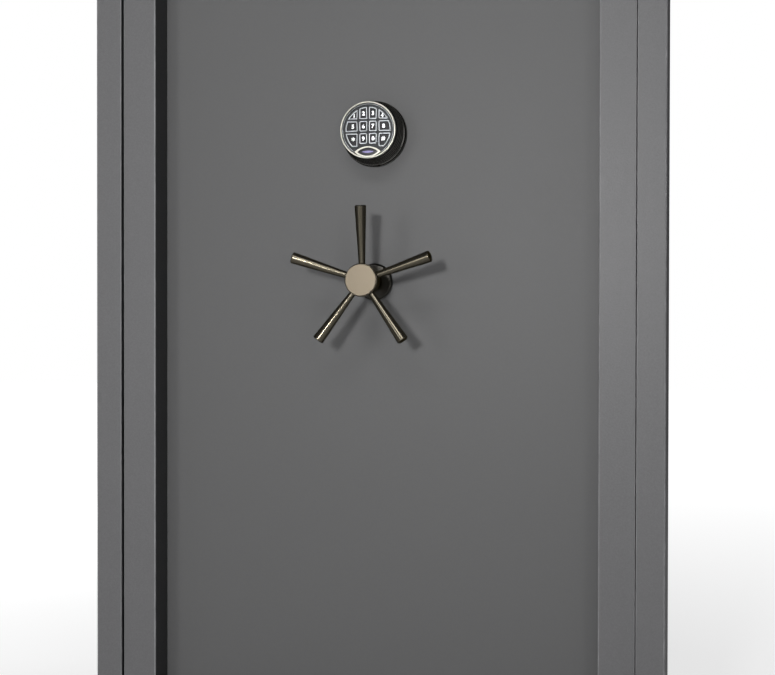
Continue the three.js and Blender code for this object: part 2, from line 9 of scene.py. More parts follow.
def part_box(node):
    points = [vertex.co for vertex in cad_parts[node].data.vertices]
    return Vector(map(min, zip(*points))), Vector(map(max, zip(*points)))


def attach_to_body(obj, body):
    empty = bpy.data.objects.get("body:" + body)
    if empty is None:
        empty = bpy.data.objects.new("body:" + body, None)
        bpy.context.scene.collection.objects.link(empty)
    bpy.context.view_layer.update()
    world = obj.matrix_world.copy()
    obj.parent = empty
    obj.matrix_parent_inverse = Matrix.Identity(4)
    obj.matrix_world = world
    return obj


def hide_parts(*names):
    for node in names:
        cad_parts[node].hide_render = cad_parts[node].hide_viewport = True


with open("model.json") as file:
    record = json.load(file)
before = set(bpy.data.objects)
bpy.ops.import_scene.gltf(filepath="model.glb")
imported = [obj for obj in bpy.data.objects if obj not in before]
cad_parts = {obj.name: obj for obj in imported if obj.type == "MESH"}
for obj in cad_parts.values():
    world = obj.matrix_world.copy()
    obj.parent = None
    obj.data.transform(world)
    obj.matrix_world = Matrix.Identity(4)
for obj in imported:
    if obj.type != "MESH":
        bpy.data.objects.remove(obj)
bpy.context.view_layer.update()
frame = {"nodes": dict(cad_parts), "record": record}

MM = 0.001

joints = {joint["name"]: joint for joint in frame["record"]["behaviour"]["joints"]}
shell_low, shell_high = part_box("outer_shell")
skin_low, skin_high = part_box("door_skin")
FRONT = shell_low.y
HANDLE = Vector(joints["handle_turn"]["pos_m"])
DIAL = Vector(joints["dial_turn"]["pos_m"])
PANEL_Y = HANDLE.y

# The widths of the cabinet's front flange and the door's raised border, and the sheet they are folded from.
FLANGE = 43.6 * MM
BORDER = 55.4 * MM
SHEET = 3 * MM

EDGE = "edge"                                   # a vertex value: 1 on rounded edges and ridge crests, where paint wears and where highlights are painted
FACING = Matrix.Rotation(math.pi / 2, 4, "X")   # turns local Z to face out of the door's front
HANDLE_AXIS, DIAL_AXIS = [Matrix.Translation(spot) @ FACING for spot in (HANDLE, DIAL)]


# ---------------- objects and shader nodes

def new_object(name, data):
    obj = bpy.data.objects.new(name, data)
    bpy.context.collection.objects.link(obj)
    return obj


def fill(tree, node, sockets):
    """Sets a node's sockets to values, or links them to other nodes' outputs."""
    for socket, value in sockets.items():
        if isinstance(value, bpy.types.NodeSocket):
            tree.links.new(value, node.inputs[socket])
        else:
            node.inputs[socket].default_value = value
    return node


def add_node(tree, kind, sockets=(), **settings):
    """A shader node with its settings and its sockets filled in."""
    node = tree.nodes.new(f"ShaderNode{kind}")
    for name, value in settings.items():
        setattr(node, name, value)
    return fill(tree, node, dict(sockets))


def map_range(tree, value, low, high, start, end):
    """Turns start to end into low to high."""
    sockets = {"Value": value, "From Min": start, "From Max": end, "To Min": low, "To Max": high}
    return add_node(tree, "MapRange", sockets).outputs["Result"]


# ---------------- camera, light and floor

def make_camera():
    data = bpy.data.cameras.new("camera")
    data.sensor_width = 36
    data.lens = 59.6
    camera = new_object("camera", data)
    distance, aside, eye = 1.95, 0.472, 0.729
    yaw, pitch, roll = math.radians(12.7), math.radians(0.64), math.radians(0.09)
    camera.location = (aside, FRONT - distance, eye)
    level = Matrix.Rotation(yaw, 3, "Z") @ Matrix.Rotation(math.pi / 2 - pitch, 3, "X")
    camera.rotation_euler = (level @ Matrix.Rotation(roll, 3, "Z")).to_euler()
    bpy.context.scene.camera = camera


def make_light(name, place, target, size, power):
    """A rectangular softbox that faces target; sizes in metres, power in watts."""
    data = bpy.data.lights.new(name, "AREA")
    data.shape = "RECTANGLE"
    data.size, data.size_y = size
    data.energy = power
    light = new_object(name, data)
    light.location = place
    light.rotation_euler = (Vector(target) - light.location).to_track_quat("-Z", "Y").to_euler()


def make_world():
    """White to the camera; to everything else dim in front of the object and dimmer behind it."""
    world = bpy.data.worlds.new("studio")
    bpy.context.scene.world = world
    world.use_nodes = True
    tree = world.node_tree
    tree.nodes.clear()
    direction = add_node(tree, "SeparateXYZ", {0: add_node(tree, "TexCoord").outputs["Generated"]})
    strength = map_range(tree, direction.outputs["Y"], 0.10, 0.04, 0.0, 0.25)
    ambient = add_node(tree, "Background", {"Color": (0.96, 0.98, 1.0, 1), "Strength": strength})
    seen = add_node(tree, "Background", {"Color": (1, 1, 1, 1), "Strength": 1.0})
    camera_ray = add_node(tree, "LightPath").outputs["Is Camera Ray"]
    mix = add_node(tree, "MixShader", {"Fac": camera_ray, 1: ambient.outputs[0], 2: seen.outputs[0]})
    add_node(tree, "OutputWorld", {"Surface": mix.outputs[0]})


def make_floor():
    """A plain pale floor, lifted towards white where the camera sees it."""
    half = 12
    mesh = bpy.data.meshes.new("floor")
    corners = [(-half, -half, 0), (half, -half, 0), (half, half, 0), (-half, half, 0)]
    mesh.from_pydata(corners, [], [(0, 1, 2, 3)])
    floor = new_object("floor", mesh)
    material = bpy.data.materials.new("pale_floor")
    material.use_nodes = True
    tree = material.node_tree
    place = add_node(tree, "TexCoord").outputs["Object"]
    distance = add_node(tree, "VectorMath", {0: place}, operation="LENGTH").outputs["Value"]
    fade = map_range(tree, distance, 0.6, 1.0, 0.8, 4.5)
    camera_ray = add_node(tree, "LightPath").outputs["Is Camera Ray"]
    lift = add_node(tree, "Math", {0: camera_ray, 1: fade}, operation="MULTIPLY")
    fill(tree, tree.nodes["Principled BSDF"], {
        "Base Color": (0.72, 0.72, 0.72, 1), "Roughness": 0.9, "Specular IOR Level": 0.1,
        "Emission Color": (1, 1, 1, 1), "Emission Strength": lift.outputs[0],
    })
    mesh.materials.append(material)


make_camera()
make_world()
make_floor()
middle = (0, FRONT, 0.8)
make_light("key", (-0.05, FRONT - 3.0, 1.12), middle, (0.26, 0.26), 29)
make_light("left_fill", (-2.5, FRONT - 5.0, 1.28), middle, (1.0, 2.5), 28)
make_light("right_fill", (2.8, FRONT - 5.0, 1.28), middle, (1.0, 2.5), 24.5)
make_light("top_fill", (0, FRONT - 4.2, 3.8), middle, (3.0, 1.1), 54)
make_light("right_rear", (3.6, 1.2, 2.0), (0.4, 0, 0.9), (1.4, 1.4), 14)
make_light("left_rear", (-2.4, 2.6, 1.8), (0, 0, 0.9), (1.6, 1.6), 36)
bpy.context.scene.view_settings.view_transform = "Standard"


# ---------------- procedural materials

MIX_FIRST, MIX_SECOND, MIX_RESULT = 6, 7, 2     # a Mix node's colour sockets


class Surface:
    """A Principled material with short calls for the nodes that drive it."""

    def __init__(self, name, colour, roughness, metallic=0.0):
        self.material = bpy.data.materials.new(name)
        self.material.use_nodes = True
        self.tree = self.material.node_tree
        self.shader = self.tree.nodes["Principled BSDF"]
        self.colour = colour
        self.set(Base_Color=(*colour, 1), Roughness=roughness, Metallic=metallic)
        self.place = self.add("TexCoord").outputs["Object"]

    def add(self, kind, sockets=(), **settings):
        return add_node(self.tree, kind, sockets, **settings)

    def stretched(self, scale, vector=None):
        """Coordinates multiplied by a vector, for grain that runs one way."""
        return self.add("Mapping", {"Scale": scale, "Vector": vector or self.place}).outputs["Vector"]

    def noise(self, scale, detail=3.0, roughness=0.55, vector=None):
        sockets = {"Scale": scale, "Detail": detail, "Roughness": roughness, "Vector": vector or self.place}
        return self.add("TexNoise", sockets).outputs["Fac"]

    def cells(self, scale, feature="F1"):
        node = self.add("TexVoronoi", {"Scale": scale, "Vector": self.place}, feature=feature)
        return node.outputs["Distance"]

    def edges(self):
        return self.add("Attribute", attribute_name=EDGE).outputs["Fac"]

    def remap(self, value, low, high, start=0.0, end=1.0):
        return map_range(self.tree, value, low, high, start, end)

    def math(self, operation, a, b):
        return self.add("Math", {0: a, 1: b}, operation=operation).outputs[0]

    def blend(self, factor, first, second):
        sockets = {0: factor, MIX_FIRST: first, MIX_SECOND: second}
        return self.add("Mix", sockets, data_type="RGBA").outputs[MIX_RESULT]

    def tint(self, factor, dark, light):
        """The base colour times a brightness that runs from dark to light with factor."""
        shades = [(*(min(c * gain, 1) for c in self.colour), 1) for gain in (dark, light)]
        return self.blend(factor, *shades)

    def bump(self, height, depth, strength=1.0):
        """Relief of depth metres, on top of the relief there is."""
        normal = self.shader.inputs["Normal"]
        sockets = {"Strength": strength, "Distance": depth, "Height": height}
        if normal.is_linked:
            sockets["Normal"] = normal.links[0].from_socket
        self.tree.links.new(self.add("Bump", sockets).outputs["Normal"], normal)

    def set(self, **sockets):
        """Sockets by their names with _ for spaces: values, or outputs to link."""
        fill(self.tree, self.shader, {name.replace("_", " "): value for name, value in sockets.items()})
        return self


def powder_coat(name, colour, grain, contrast, roughness):
    """Fine orange-peel powder coat: grain depth in metres, with folds painted lighter, partly as wear and
    partly as a painted highlight where they catch the light.
    """
    s = Surface(name, colour, roughness)
    coarse = s.noise(420, 2.0, 0.5)
    fine = s.noise(1500, 2.0, 0.6)
    cloud = s.noise(2.2, 3.0, 0.5)
    speckle = s.math("ADD", s.math("MULTIPLY", coarse, 0.6), s.math("MULTIPLY", fine, 0.4))
    mottled = s.tint(s.remap(speckle, 0, 1, 0.3, 0.7), 1 - contrast, 1 + contrast)
    clouded = s.blend(s.remap(cloud, 0.0, 0.35, 0.3, 0.7), mottled, s.tint(speckle, 0.93, 1.0))
    edge_wear_and_highlight = s.math("MULTIPLY", s.edges(), s.remap(s.noise(35), 0.4, 0.8, 0.35, 0.65))
    # the folds are painted up to 2.1 times lighter: partly wear, partly a painted highlight
    s.set(Base_Color=s.blend(edge_wear_and_highlight, clouded, (*(min(c * 2.1, 1) for c in colour), 1)))
    s.set(Roughness=s.remap(speckle, roughness - 0.06, roughness + 0.08, 0.3, 0.7))
    s.bump(coarse, grain, 0.8)
    s.bump(fine, grain * 0.5, 0.6)
    return s.set(Specular_IOR_Level=0.5).material


def satin_paint(name, colour, roughness=0.42):
    s = Surface(name, colour, roughness)
    fine = s.noise(900, 2.0)
    smear = s.noise(14, 4.0, 0.6)
    edge_wear_and_highlight = s.math("MULTIPLY", s.edges(), s.remap(smear, 0.0, 0.7, 0.4, 0.6))
    s.set(Base_Color=s.blend(edge_wear_and_highlight, s.tint(smear, 0.85, 1.2), (0.16, 0.16, 0.165, 1)))
    s.set(Roughness=s.remap(smear, roughness - 0.08, roughness + 0.12, 0.3, 0.7))
    s.bump(fine, 0.00005, 0.6)
    return s.material


def rolled_steel(name, colour, grain_scale, roughness):
    """Bright zinc or brushed steel with grain that runs one way."""
    s = Surface(name, colour, roughness, 1.0)
    grain = s.noise(60, 3.0, 0.6, s.stretched(grain_scale))
    stain = s.noise(9, 4.0, 0.6)
    s.set(Base_Color=s.tint(s.math("MULTIPLY", grain, stain), 0.75, 1.25))
    s.set(Roughness=s.remap(grain, roughness - 0.08, roughness + 0.12, 0.3, 0.7))
    s.bump(grain, 0.00003, 0.5)
    return s.material


def polished(name, colour, roughness, streaks=0.03, rub_and_highlight=None, rub_and_highlight_mix=(0.1, 0.6), scratch=0.4, rim=(1, 1, 1)):
    """Plated metal: faint smears, hairline scratches and edges in a lighter colour, rim its tint at glancing
    angles. The lighter edges stand for wear, and where they are near white, as on the gloss black metal, they
    are a painted highlight.
    """
    s = Surface(name, colour, roughness, 1.0)
    smear = s.noise(45, 3.0, 0.55)
    hair = s.noise(260, 2.0, 0.6, s.stretched((1, 6, 1)))
    edge_wear_and_highlight = s.math("MULTIPLY", s.edges(), s.remap(smear, *rub_and_highlight_mix, 0.4, 0.6))
    lighter = (*(rub_and_highlight or (min(c * 1.35 + 0.05, 1) for c in colour)), 1)
    s.set(Base_Color=s.blend(edge_wear_and_highlight, s.tint(smear, 0.93, 1.05), lighter))
    haze = s.math("MULTIPLY", smear, hair)
    s.set(Roughness=s.remap(haze, roughness - streaks, roughness + 2 * streaks, 0.1, 0.5))
    s.bump(hair, 0.000006, scratch)
    return s.set(Specular_Tint=(*rim, 1)).material


def faced_metal(name, colour, roughness, centre):
    """Metal faced on a lathe: fine rings round a centre, in the XZ plane."""
    s = Surface(name, colour, roughness, 1.0)
    offset = s.add("VectorMath", {0: s.place, 1: centre}, operation="SUBTRACT")
    sockets = {"Scale": 420, "Distortion": 0.4, "Vector": s.stretched((1, 0, 1), offset.outputs[0])}
    rings = s.add("TexWave", sockets, wave_type="RINGS", rings_direction="SPHERICAL")
    smear = s.noise(160, 3.0)
    s.set(Base_Color=s.tint(smear, 0.98, 1.02))
    s.set(Roughness=s.remap(smear, roughness - 0.01, roughness + 0.01, 0.3, 0.7))
    s.bump(rings.outputs["Fac"], 0.000001, 0.3)
    return s.material


def moulded(name, colour, roughness):
    s = Surface(name, colour, roughness)
    stipple = s.cells(1600)
    smear = s.noise(30, 3.0)
    s.set(Base_Color=s.tint(smear, 0.85, 1.2))
    s.set(Roughness=s.remap(smear, roughness - 0.06, roughness + 0.1, 0.3, 0.7))
    s.bump(stipple, 0.00003, 0.5)
    return s.material


def carpet(name, colour, pile):
    """Short-pile needle felt: tangled fibres, lighter tips and soft shading."""
    s = Surface(name, colour, 0.95)
    tuft = s.cells(700, "SMOOTH_F1")
    fibre = s.noise(1800, 4.0, 0.75)
    patch = s.noise(18, 4.0, 0.6)
    mottled = s.tint(s.remap(fibre, 0, 1, 0.3, 0.7), 0.45, 1.75)
    s.set(Base_Color=s.blend(s.remap(patch, 0.1, 0.6, 0.3, 0.7), mottled, s.tint(tuft, 0.7, 1.3)))
    s.bump(tuft, pile, 0.7)
    s.bump(fibre, pile * 0.6, 0.8)
    return s.set(Sheen_Weight=0.35, Sheen_Roughness=0.5, Specular_IOR_Level=0.2).material


def gypsum(name, colour):
    s = Surface(name, colour, 0.95)
    chalk = s.noise(300, 4.0, 0.7)
    damp = s.noise(7, 4.0, 0.6)
    s.set(Base_Color=s.blend(damp, s.tint(chalk, 0.82, 1.08), s.tint(chalk, 0.7, 0.95)))
    s.bump(chalk, 0.0003, 0.6)
    return s.material


def seal_rubber(name, colour):
    s = Surface(name, colour, 0.7)
    dust = s.noise(220, 4.0, 0.6)
    s.set(Base_Color=s.tint(dust, 0.6, 2.2))
    s.bump(dust, 0.00008, 0.6)
    return s.material


CHARCOAL = powder_coat("charcoal_powder_coat", (0.151, 0.150, 0.154), 0.00018, 0.14, 0.42)
PANEL_GREY = powder_coat("door_powder_coat", (0.122, 0.122, 0.123), 0.00006, 0.05, 0.50)
# painted shade: the recess walls get a near-black coat that stands in for the shadow inside the door's recess
RECESS_SHADE = powder_coat("recess_painted_shade", (0.036, 0.036, 0.037), 0.00006, 0.05, 0.60)
BLACK_PAINT = satin_paint("black_satin_paint", (0.016, 0.016, 0.018))
# the near-white edge colour paints bright highlight lines on the dial drum's ridge crests and the dial base's
# rim
BLACK_METAL = polished(
    "gloss_black_metal", (0.055, 0.053, 0.051), 0.16,
    rub_and_highlight=(0.80, 0.78, 0.72), rub_and_highlight_mix=(0.7, 1.0), rim=(0.25, 0.25, 0.25),
)
GUNMETAL = polished("gunmetal", (0.055, 0.052, 0.046), 0.36, rub_and_highlight=(0.11, 0.105, 0.095))
ZINC = rolled_steel("zinc_steel", (0.52, 0.53, 0.54), (1, 1, 12), 0.34)
CHROME = polished("polished_chrome", (0.78, 0.79, 0.80), 0.10)
RING_CHROME = polished("ring_chrome", (0.48, 0.47, 0.415), 0.36, 0.01, scratch=0.1)
BLACK_NICKEL = polished(
    "black_nickel", (0.168, 0.149, 0.112), 0.20, 0.004, scratch=0.04, rim=(0.3, 0.28, 0.24)
)
HUB_FACE = faced_metal("champagne_nickel", (0.178, 0.150, 0.112), 0.37, HANDLE)
LOCK_ALLOY = rolled_steel("lock_alloy", (0.52, 0.47, 0.34), (8, 1, 1), 0.42)
BLACK_PLASTIC = moulded("black_moulding", (0.012, 0.012, 0.013), 0.4)
FACE_GREY = moulded("face_moulding", (0.028, 0.031, 0.035), 0.5)
KEY_DARK = moulded("key_moulding", (0.012, 0.012, 0.014), 0.55)
KEY_RIM = polished("key_rim", (0.46, 0.48, 0.50), 0.36)
KEY_DIGIT = polished("key_digit", (0.86, 0.87, 0.89), 0.3)
EMBLEM_DARK = moulded("emblem_enamel", (0.012, 0.011, 0.016), 0.3)
EMBLEM_VIOLET = polished("emblem_inlay", (0.20, 0.18, 0.34), 0.3)
FELT = carpet("grey_felt", (0.085, 0.086, 0.092), 0.0007)
MAT_FELT = carpet("mat_felt", (0.048, 0.049, 0.053), 0.0010)
GYPSUM = gypsum("fire_board_gypsum", (0.70, 0.67, 0.60))
SEAL = seal_rubber("seal_rubber", (0.012, 0.012, 0.012))


# ---------------- mesh helpers

def mm(points):
    """Points given in millimetres, in metres."""
    return [tuple(value * MM for value in point) for point in points]


def combine(obj, added, cut):
    """Joins closed objects to a closed one, then cuts others out of it, and deletes them all."""
    for operation, tools in (("UNION", added), ("DIFFERENCE", cut)):
        for tool in tools:
            modifier = obj.modifiers.new("combine", "BOOLEAN")
            modifier.operation = operation
            modifier.object = tool
    bpy.context.view_layer.update()
    whole = bpy.data.meshes.new_from_object(obj.evaluated_get(bpy.context.evaluated_depsgraph_get()))
    obj.modifiers.clear()
    bm = bmesh.new()
    bm.from_mesh(whole)
    bmesh.ops.dissolve_degenerate(bm, dist=1e-6, edges=bm.edges)
    bm.to_mesh(whole)
    bm.free()
    obj.data = whole
    for tool in (*added, *cut):
        bpy.data.objects.remove(tool)


def to_object(name, bm, materials, sharp=35, weighted=True, added=(), cut=()):
    """A smooth-shaded object, creased where faces meet at more than sharp degrees.

    Objects in added are joined to it and those in cut are taken out of it first.
    """
    bmesh.ops.remove_doubles(bm, verts=bm.verts, dist=1e-7)
    bmesh.ops.recalc_face_normals(bm, faces=bm.faces)
    mesh = bpy.data.meshes.new(name)
    bm.to_mesh(mesh)
    bm.free()
    for material in materials:
        mesh.materials.append(material)
    obj = new_object(name, mesh)
    if added or cut:
        combine(obj, added, cut)
    obj.data.shade_smooth()
    obj.data.set_sharp_from_angle(angle=math.radians(sharp))
    if weighted:
        modifier = obj.modifiers.new("weighted_normals", "WEIGHTED_NORMAL")
        modifier.keep_sharp = True
    return obj


def attach(obj, body, slot, *nodes):
    """The piece rides on a body and stands for CAD nodes if any are named, which are hidden; slot is not
    used.
    """
    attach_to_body(obj, body)
    if nodes:
        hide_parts(*nodes)


def new_bmesh():
    bm = bmesh.new()
    bm.verts.layers.float.new(EDGE)
    return bm


def rounded(points, steps=4, closed=True):
    """(u, v, radius) corners as (u, v, edge) points, edge being 1 on an arc's inner points."""
    outline = []
    count = len(points)
    for i, (u, v, radius) in enumerate(points):
        if radius == 0 or (not closed and i in (0, count - 1)):
            outline.append((u, v, 0.0))
            continue
        corner = Vector((u, v))
        before = Vector(points[i - 1][:2]) - corner
        after = Vector(points[(i + 1) % count][:2]) - corner
        half = before.angle(after) / 2
        reach = min(radius / math.tan(half), 0.49 * before.length, 0.49 * after.length)
        centre_way = (before.normalized() + after.normalized()).normalized()
        centre = corner + centre_way * (reach / math.cos(half))
        start = corner + before.normalized() * reach - centre
        end = corner + after.normalized() * reach - centre
        sweep = start.angle(end)
        for k in range(steps + 1):
            t = k / steps
            way = (math.sin((1 - t) * sweep) * start + math.sin(t * sweep) * end) / math.sin(sweep)
            point = centre + way
            outline.append((point.x, point.y, 1.0 if 0 < k < steps else 0.0))
    return outline


def bridge(bm, rings, closed=False, materials=()):
    """Faces between rings of equal count, from the last back to the first too if closed."""
    count = len(rings)
    for i in range(count if closed else count - 1):
        ring, following = rings[i], rings[(i + 1) % count]
        for j in range(len(ring)):
            k = (j + 1) % len(ring)
            face = bm.faces.new((ring[j], ring[k], following[k], following[j]))
            face.material_index = materials[i] if materials else 0


def close_ends(bm, rings):
    """Flat faces over the first ring and the last, the last one returned."""
    bm.faces.new(rings[0])
    return bm.faces.new(rings[-1])


def rect_sweep(profile, rect, corner=0.0, corner_steps=1, closed=True):
    """Sweeps (inset, depth, edge) points round the rectangle (x0, x1, z0, z1), its ends flat if open."""
    bm = new_bmesh()
    layer = bm.verts.layers.float[EDGE]
    x0, x1, z0, z1 = rect
    rings = []
    for inset, y, edge in profile:
        r = max(corner - inset, 0)
        left, right, low, high = x0 + inset + r, x1 - inset - r, z0 + inset + r, z1 - inset - r
        ring = []
        for cx, cz, start in ((right, low, -90), (right, high, 0), (left, high, 90), (left, low, 180)):
            for k in range(corner_steps + 1):
                angle = math.radians(start + 90 * k / corner_steps)
                vertex = bm.verts.new((cx + r * math.cos(angle), y, cz + r * math.sin(angle)))
                vertex[layer] = edge
                ring.append(vertex)
        rings.append(ring)
    bridge(bm, rings, closed)
    if not closed:
        close_ends(bm, rings)
    return bm


def revolve(profile, matrix, segments, closed=False):
    """Revolves (radius, along, edge) points about local Z, placed by matrix."""
    bm = new_bmesh()
    layer = bm.verts.layers.float[EDGE]
    rings = []
    for radius, along, edge in profile:
        ring = []
        for k in range(segments):
            angle = 2 * math.pi * k / segments
            spot = Vector((radius * math.cos(angle), radius * math.sin(angle), along))
            vertex = bm.verts.new(matrix @ spot)
            vertex[layer] = edge
            ring.append(vertex)
        rings.append(ring)
    bridge(bm, rings, closed)
    return bm


def turned_piece(name, points, matrix, material, steps=4, segments=96, closed=False, added=(), cut=()):
    """A piece turned about the matrix's Z from (radius, along, rounding) points in millimetres."""
    bm = revolve(rounded(mm(points), steps, closed), matrix, segments, closed)
    return to_object(name, bm, [material], 30, added=added, cut=cut)


def drill(matrix, radius, start, end):
    """A plain rod along the matrix's Z, in millimetres, for cutting a hole."""
    bm = revolve(mm([(0, start, 0), (radius, start, 0), (radius, end, 0), (0, end, 0)]), matrix, 64)
    return to_object("drill", bm, [], weighted=False)


def prism(outline, matrix, start, end, radius=0):
    """A solid between two copies of a flat outline, in millimetres, rounded if a radius is given."""
    bm = new_bmesh()
    rings = []
    for z in (start, end):
        rings.append([bm.verts.new(matrix @ Vector(point)) for point in mm((x, y, z) for x, y in outline)])
    bridge(bm, rings)
    close_ends(bm, rings)
    if radius:
        sharp = [e for e in bm.edges if e.calc_face_angle() > math.radians(15)]
        bmesh.ops.bevel(bm, geom=sharp, offset=radius * MM, segments=3, affect="EDGES", profile=0.5)
    return to_object("prism", bm, [], weighted=False)


def slab(name, low, high, radius, material, segments=3):
    """A box with rounded edges."""
    bm = new_bmesh()
    size = Vector(high) - Vector(low)
    centre = (Vector(high) + Vector(low)) / 2
    bmesh.ops.create_cube(bm, size=1, matrix=Matrix.Translation(centre) @ Matrix.Diagonal((*size, 1)))
    bmesh.ops.bevel(bm, geom=bm.edges[:], offset=radius, segments=segments, affect="EDGES", profile=0.5)
    return to_object(name, bm, [material])


def softened(name, node, radius, material, segments=2):
    """A copy of a CAD node with its coplanar facets joined and its sharp edges rounded."""
    bm = bmesh.new()
    bm.from_mesh(frame["nodes"][node].data)
    bm.verts.layers.float.new(EDGE)
    bmesh.ops.remove_doubles(bm, verts=bm.verts, dist=1e-6)
    bmesh.ops.dissolve_limit(bm, angle_limit=math.radians(0.5), verts=bm.verts, edges=bm.edges)
    sharp = [e for e in bm.edges if len(e.link_faces) == 2 and e.calc_face_angle() > math.radians(40)]
    bmesh.ops.bevel(
        bm, geom=sharp, offset=radius, segments=segments, affect="EDGES", profile=0.5, clamp_overlap=True
    )
    return to_object(name, bm, [material])


def rect_of(low, high):
    return (low.x, high.x, low.z, high.z)


# ---------------- cabinet

def build_cabinet_shell():
    """Four sides and the front flange as one folded sheet, and a back plate welded in."""
    rect = rect_of(shell_low, shell_high)
    back = shell_high.y
    profile = rounded([
        (0, back, 2 * MM), (0, FRONT, 3.2 * MM), (FLANGE, FRONT, 2 * MM), (FLANGE, FRONT + SHEET, 0),
        (SHEET, FRONT + SHEET, 0), (SHEET, back, 0),
    ], 5)
    bm = rect_sweep(profile, rect, corner=SHEET, corner_steps=5)
    anchor_x, anchor_front, anchor_back = shell_high.x - 110 * MM, FRONT + 150 * MM, back - 110 * MM
    holes = [
        drill(Matrix.Translation((x, y, 0)), radius=7, start=-5, end=10)
        for x in (-anchor_x, anchor_x) for y in (anchor_front, anchor_back)
    ]
    attach(to_object("cabinet_wrap", bm, [CHARCOAL], cut=holes), "cabinet", "charcoal_paint", "outer_shell")
    inset = SHEET + 0.4 * MM
    low = (shell_low.x + inset, back - SHEET, shell_low.z + inset)
    high = (shell_high.x - inset, back - 1 * MM, shell_high.z - inset)
    attach(slab("back_plate", low, high, 0.8 * MM, CHARCOAL), "cabinet", "charcoal_paint")


def build_weld_bead():
    """The bead round the back plate, a thin rod that swells and narrows along each side."""
    y = shell_high.y - 1.8 * MM
    x0, x1 = shell_low.x + SHEET, shell_high.x - SHEET
    z0, z1 = shell_low.z + SHEET, shell_high.z - SHEET
    bm = new_bmesh()
    corners = [Vector((x0, y, z0)), Vector((x1, y, z0)), Vector((x1, y, z1)), Vector((x0, y, z1))]
    pitch, sides = 14 * MM, 6
    for a, b in zip(corners, corners[1:] + corners[:1]):
        way = (b - a).normalized()
        across = way.cross(Vector((0, 1, 0)))
        runs = int((b - a).length / pitch)
        rings = []
        for i in range(runs + 1):
            swell = 2.4 * MM * (1 + 0.2 * math.sin(i * 2.4))
            spot = a + (b - a) * (i / runs)
            ring = []
            for k in range(sides):
                angle = 2 * math.pi * k / sides
                offset = across * math.cos(angle) + Vector((0, 0.55, 0)) * math.sin(angle)
                ring.append(bm.verts.new(spot + offset * swell))
            rings.append(ring)
        bridge(bm, rings)
        close_ends(bm, rings)
    attach(to_object("back_weld", bm, [CHARCOAL]), "cabinet", "charcoal_paint")


def build_jamb():
    """The stepped frame inside the opening, and the ribbed seal that the door closes on."""
    low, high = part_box("door_frame")
    outer, lip = low.x - shell_low.x, FLANGE - 16 * MM
    front, back = FRONT + SHEET + 0.3 * MM, high.y
    step_y, step = FRONT + 50 * MM, FLANGE + 9.6 * MM
    profile = rounded([
        (outer, front, 0), (FLANGE, front, 1 * MM), (FLANGE, step_y, 1.5 * MM), (step, step_y, 2 * MM),
        (step, back, 1.5 * MM), (lip, back, 0.5 * MM), (lip, back - SHEET, 0.5 * MM),
        (step - SHEET, back - SHEET, 1 * MM), (step - SHEET, step_y + SHEET, 1 * MM),
        (FLANGE - SHEET, step_y + SHEET, 1 * MM), (FLANGE - SHEET, front + SHEET, 1 * MM),
        (outer, front + SHEET, 0),
    ])
    bm = rect_sweep(profile, rect_of(shell_low, shell_high))
    attach(to_object("jamb", bm, [BLACK_PAINT]), "cabinet", "black_paint", "door_frame")

    seal_low, seal_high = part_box("frame_seal")
    width, ribs = 8 * MM, 3
    crest, valley = seal_low.y, seal_low.y + 1.4 * MM
    points = []
    for i in range(ribs):
        centre = width * (i + 0.5) / ribs
        points += [
            (centre - 1.2 * MM, valley, 0.4 * MM), (centre - 0.7 * MM, crest, 0.6 * MM),
            (centre + 0.7 * MM, crest, 0.6 * MM), (centre + 1.2 * MM, valley, 0.4 * MM),
        ]
    points += [(width, seal_high.y, 0), (0, seal_high.y, 0)]
    bm = rect_sweep(rounded(points, 2), rect_of(seal_low, seal_high))
    attach(to_object("jamb_seal", bm, [SEAL]), "cabinet", "seal", "frame_seal")


# ---------------- inside

def closed_sheet(front, corners):
    """Closes a grid of points with a flat back, given as its corners [i][j], and four sides."""
    bm = new_bmesh()
    grid = [[bm.verts.new(point) for point in column] for column in front]
    back = [[bm.verts.new(point) for point in column] for column in corners]
    nu, nv = len(grid) - 1, len(grid[0]) - 1
    for i in range(nu):
        for j in range(nv):
            bm.faces.new((grid[i][j], grid[i + 1][j], grid[i + 1][j + 1], grid[i][j + 1]))
    bm.faces.new((back[0][0], back[0][1], back[1][1], back[1][0]))
    bm.faces.new([back[0][0], back[1][0]] + [column[0] for column in reversed(grid)])
    bm.faces.new([back[1][1], back[0][1]] + [column[nv] for column in grid])
    bm.faces.new([back[0][1], back[0][0]] + grid[0])
    bm.faces.new([back[1][0], back[1][1]] + grid[nu][::-1])
    return bm


FELT_THICKNESS = 5 * MM


def padded_face(width, height, place, cells, seams_u, seams_v, groove, crown=0.0, puff=0.0):
    """A covered panel: crowned, puffed between its sewn grooves, with edges that pull in to the board.

    place(u, v, h) gives the point u across, v up and h out of the panel's back.
    """
    pull, seam_width = 6 * MM, 3.5 * MM

    def rise(u, v):
        """The cover's height at the fractions u and v of the panel's width and height."""
        edge_u, edge_v = min(u, 1 - u) * width, min(v, 1 - v) * height
        lift = (1 - math.exp(-edge_u / pull)) * (1 - math.exp(-edge_v / pull))
        h = FELT_THICKNESS * (0.35 + 0.65 * lift)
        h += crown * (1 - (2 * u - 1) ** 4) * (1 - (2 * v - 1) ** 4)
        waves = math.sin(math.pi * u * (len(seams_u) + 1)) * math.sin(math.pi * v * (len(seams_v) + 1))
        h += puff * abs(waves) ** 0.5
        offsets = [(u - seam) * width for seam in seams_u] + [(v - seam) * height for seam in seams_v]
        return h - sum(groove * math.exp(-(offset / seam_width) ** 2) for offset in offsets)

    across, up = [[i / count for i in range(count + 1)] for count in cells]
    front = [[place(u * width, v * height, rise(u, v)) for v in up] for u in across]
    return closed_sheet(front, [[place(u * width, v * height, 0) for v in (0, 1)] for u in (0, 1)])


